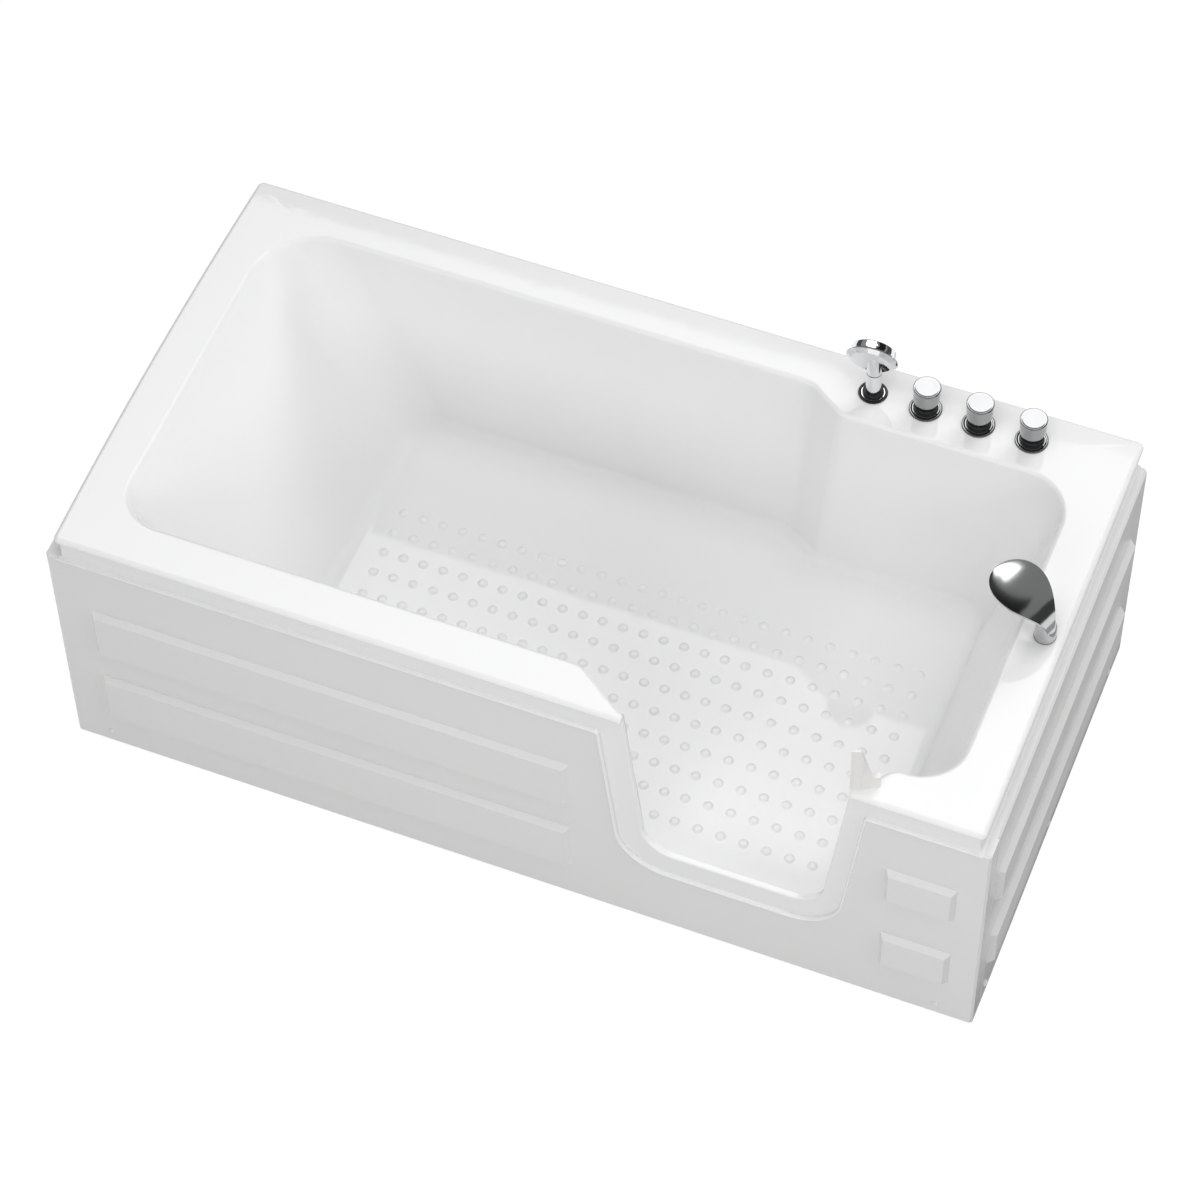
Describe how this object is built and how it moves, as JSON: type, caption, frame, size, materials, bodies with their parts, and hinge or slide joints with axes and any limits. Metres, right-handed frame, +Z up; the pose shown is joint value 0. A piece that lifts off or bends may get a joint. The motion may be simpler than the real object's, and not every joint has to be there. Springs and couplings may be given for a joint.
{
  "type": "walk in bathtub",
  "caption": "Walk-in bathtub: moulded shell with an open doorway in its front, apron panels on a levelled steel frame, deck taps, waterfall spout, pull-out hand shower and pop-up waste.",
  "frame": {"origin": "on the floor, under the middle of the whole bath, at the centre of its bounding box", "axes": "+X towards the foot end with the spout, +Y towards the wall side with the taps, so the doorway faces -Y, +Z up"},
  "size_m": [1.7, 0.862, 0.7281],
  "materials": {
    "acrylic_shell": "glossy white acrylic",
    "acrylic_apron": "glossy white acrylic, seen a little greyer",
    "frame_steel": "galvanised square tube",
    "zinc_steel": "zinc-plated",
    "board": "raw particle board",
    "rubber": "matt black",
    "chrome": "polished",
    "brass": "as cast and turned",
    "waste_plastic": "white polypropylene",
    "spray_rubber": "soft grey nozzles"
  },
  "bodies": {
    "tub": {"tub_shell": "acrylic_shell", "front_apron": "acrylic_apron", "left_apron": "acrylic_apron", "right_apron": "acrylic_apron", "door_keeper": "acrylic_shell", "floor_board": "board", "rail_front": "frame_steel", "rail_back": "frame_steel", "rail_left": "frame_steel", "rail_right": "frame_steel", "crossbar_head": "frame_steel", "crossbar_middle": "frame_steel", "crossbar_foot": "frame_steel", "post_front_head": "frame_steel", "post_front_middle": "frame_steel", "post_front_foot": "frame_steel", "post_back_head": "frame_steel", "post_back_middle": "frame_steel", "post_back_foot": "frame_steel", "foot_pads": "rubber", "foot_studs": "zinc_steel", "lock_nuts": "zinc_steel", "apron_screws": "zinc_steel", "screw_caps": "acrylic_shell", "hot_flange": "chrome", "hot_valve": "brass", "cold_flange": "chrome", "cold_valve": "brass", "diverter_flange": "chrome", "diverter_valve": "brass", "deck_washers": "rubber", "deck_nuts": "brass", "hot_link_pipe": "brass", "mixed_link_pipe": "brass", "spout_pipe": "brass", "pipe_nuts": "brass", "shower_holder": "chrome", "spout_stem": "chrome", "spout_blade": "chrome", "waste_flange": "chrome", "waste_nut": "waste_plastic", "waste_body": "waste_plastic", "trap": "waste_plastic", "overflow_plate": "chrome", "overflow_elbow": "waste_plastic", "overflow_pipe": "waste_plastic"},
    "hot_control": {"hot_knob": "chrome", "hot_spindle": "brass"},
    "cold_control": {"cold_knob": "chrome", "cold_spindle": "brass"},
    "diverter_control": {"diverter_knob": "chrome", "diverter_spindle": "brass"},
    "hand_shower": {"shower_handle": "chrome", "shower_head": "chrome", "spray_plate": "spray_rubber"},
    "plug": {"drain_plug": "chrome"},
    "dial": {"overflow_dial": "chrome"}
  },
  "joints": [
    {"name": "hot_knob_turn", "type": "hinge", "parent": "tub", "child": "hot_control", "pos_m": [0.4545, 0.365, 0.62], "axis": [0, 0, 1], "range_deg": [0, 90]},
    {"name": "cold_knob_turn", "type": "hinge", "parent": "tub", "child": "cold_control", "pos_m": [0.5495, 0.365, 0.62], "axis": [0, 0, 1], "range_deg": [-90, 0]},
    {"name": "diverter_turn", "type": "hinge", "parent": "tub", "child": "diverter_control", "pos_m": [0.6445, 0.365, 0.62], "axis": [0, 0, 1], "range_deg": [0, 90]},
    {"name": "hand_shower_lift", "type": "slide", "parent": "tub", "child": "hand_shower", "axis": [0, 0, 1], "range_m": [0, 0.2]},
    {"name": "overflow_dial_turn", "type": "hinge", "parent": "tub", "child": "dial", "pos_m": [-0.0405, -0.33699, 0.48], "axis": [0, 0.9998, 0.0186], "range_deg": [0, 90]},
    {"name": "plug_lift", "type": "slide", "parent": "tub", "child": "plug", "axis": [0, 0, 1], "range_m": [0, 0.01]}
  ],
  "couplings": [
    {"joint": "plug_lift", "follows": "overflow_dial_turn", "m_per_rad": 0.0063661}
  ]
}
